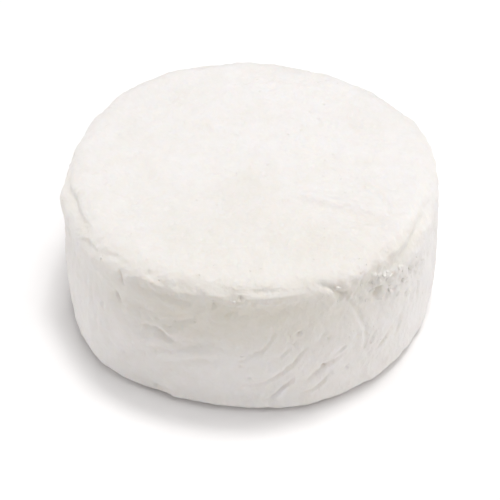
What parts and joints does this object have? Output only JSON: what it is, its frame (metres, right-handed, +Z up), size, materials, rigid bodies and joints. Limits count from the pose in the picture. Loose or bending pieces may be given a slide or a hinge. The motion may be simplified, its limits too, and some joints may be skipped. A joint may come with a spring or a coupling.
{
  "type": "cheese wheel",
  "caption": "Small round wheel of soft-ripened cheese with a white bloomy rind, softly rounded edges and an uneven hand-made shape, standing on its flat base.",
  "frame": {"origin": "middle of the wheel's outline at the plane that it stands on", "axes": "+Z up through the wheel's thickness, -Y towards the side that is seen, +X to its right"},
  "size_m": [0.1118, 0.1114, 0.0486],
  "materials": {
    "bloomy_rind": "soft matte white mould bloom, velvety, with fine pits and creases"
  },
  "bodies": {
    "root": {"cheese_wheel": "bloomy_rind"}
  },
  "joints": []
}
